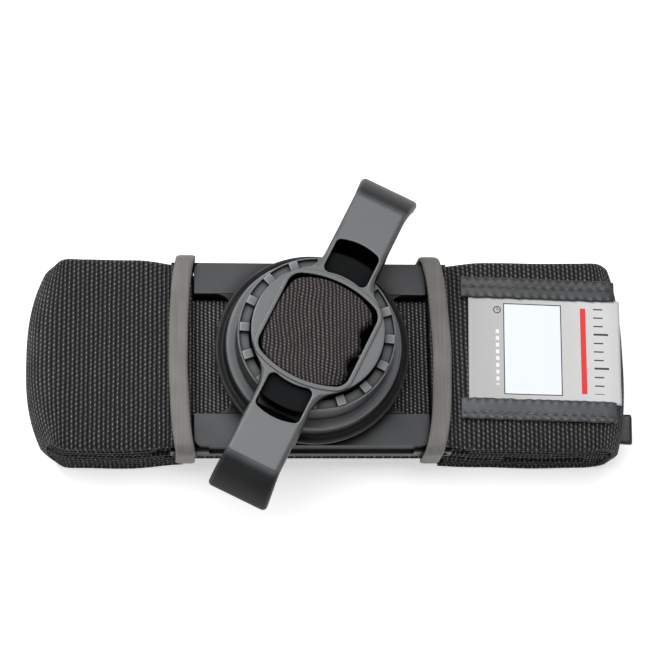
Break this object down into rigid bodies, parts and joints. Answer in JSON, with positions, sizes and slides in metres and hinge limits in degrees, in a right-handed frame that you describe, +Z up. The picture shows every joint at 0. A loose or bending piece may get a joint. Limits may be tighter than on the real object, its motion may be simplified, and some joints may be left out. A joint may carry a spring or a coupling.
{
  "type": "ratchet windlass tourniquet",
  "caption": "Folded limb tourniquet: wide webbing strap on a railed plate, ratchet dial with a two-handled windlass, rubber keepers and a write-on time label.",
  "frame": {"origin": "on the resting surface, below the middle of the folded bundle's bounding box", "axes": "+X along the strap towards the time label, +Y across the strap, +Z up along the windlass axis"},
  "size_m": [0.1656, 0.0908, 0.0476],
  "materials": {
    "plastic": "satin",
    "post_plastic": "satin",
    "bearing_plastic": "satin",
    "steel": "brushed",
    "webbing": "woven",
    "tension_webbing": "woven",
    "keeper_rubber": "matte",
    "label": "satin",
    "binding_tape": "satin"
  },
  "bodies": {
    "base": {"base_plate": "plastic", "housing_screws": "steel", "ratchet_housing": "plastic", "ratchet_ring": "post_plastic", "rotor_bushing": "bearing_plastic", "tension_webbing_left": "tension_webbing", "tension_webbing_right": "tension_webbing", "end_bar_left": "steel", "end_bar_right": "steel", "anchor_loop_left": "webbing", "anchor_loop_right": "webbing", "strap_fold_left": "webbing", "strap_fold_right": "webbing", "strap_underside": "webbing", "backing_plate": "bearing_plastic", "strap_slider": "plastic", "slider_bar": "steel", "keeper_left": "keeper_rubber", "keeper_right": "keeper_rubber", "time_label": "label", "label_binding_rear": "binding_tape", "label_binding_front": "binding_tape", "pull_tab": "binding_tape"},
    "rotor": {"windlass_rotor": "plastic", "rotor_crossbar": "steel", "retaining_ring": "steel", "pawl_pins": "steel", "pawl_spring_a": "steel", "pawl_spring_b": "steel", "webbing_loop": "tension_webbing"},
    "pawl_a": {"pawl_a": "bearing_plastic"},
    "pawl_b": {"pawl_b": "bearing_plastic"}
  },
  "joints": [
    {"name": "windlass_turn", "type": "hinge", "parent": "base", "child": "rotor", "pos_m": [-0.00625, 0, 0.0472], "axis": [0, 0, 1], "range_deg": [-1080, 0]},
    {"name": "pawl_a_swing", "type": "hinge", "parent": "rotor", "child": "pawl_a", "pos_m": [-0.01684, 0.01201, 0.0405], "axis": [0, 0, 1], "range_deg": [-9, 0], "stiffness_Nm_per_rad": 0.002},
    {"name": "pawl_b_swing", "type": "hinge", "parent": "rotor", "child": "pawl_b", "pos_m": [0.00434, -0.01201, 0.0405], "axis": [0, 0, 1], "range_deg": [-9, 0], "stiffness_Nm_per_rad": 0.002}
  ]
}
